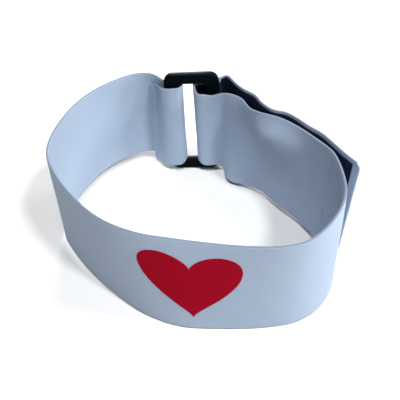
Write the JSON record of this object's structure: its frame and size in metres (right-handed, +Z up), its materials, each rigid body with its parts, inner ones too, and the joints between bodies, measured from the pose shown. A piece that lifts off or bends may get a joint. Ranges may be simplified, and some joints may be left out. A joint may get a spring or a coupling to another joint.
{
  "type": "elastic armband",
  "caption": "White elastic armband with a plain red heart print, a black plastic ring and a hook-and-loop end, standing on its lower edge.",
  "frame": {"origin": "middle of the outline on the surface that the armband stands on", "axes": "+Z up through the arm opening, -Y out of the printed front, +X to the side where the loose end is fastened"},
  "size_m": [0.1356, 0.1291, 0.0588],
  "materials": {
    "elastic_white": "smooth woven elastic, matte",
    "loop_tape_black": "napped loop pile, matte",
    "hook_tape_black": "fine moulded hooks, faint sheen",
    "print_red": "thin matte print on cloth",
    "buckle_black": "moulded, satin"
  },
  "bodies": {
    "root": {"band": "elastic_white", "loop_tape": "loop_tape_black", "hook_tape": "hook_tape_black", "emblem": "print_red", "buckle": "buckle_black"}
  },
  "joints": []
}
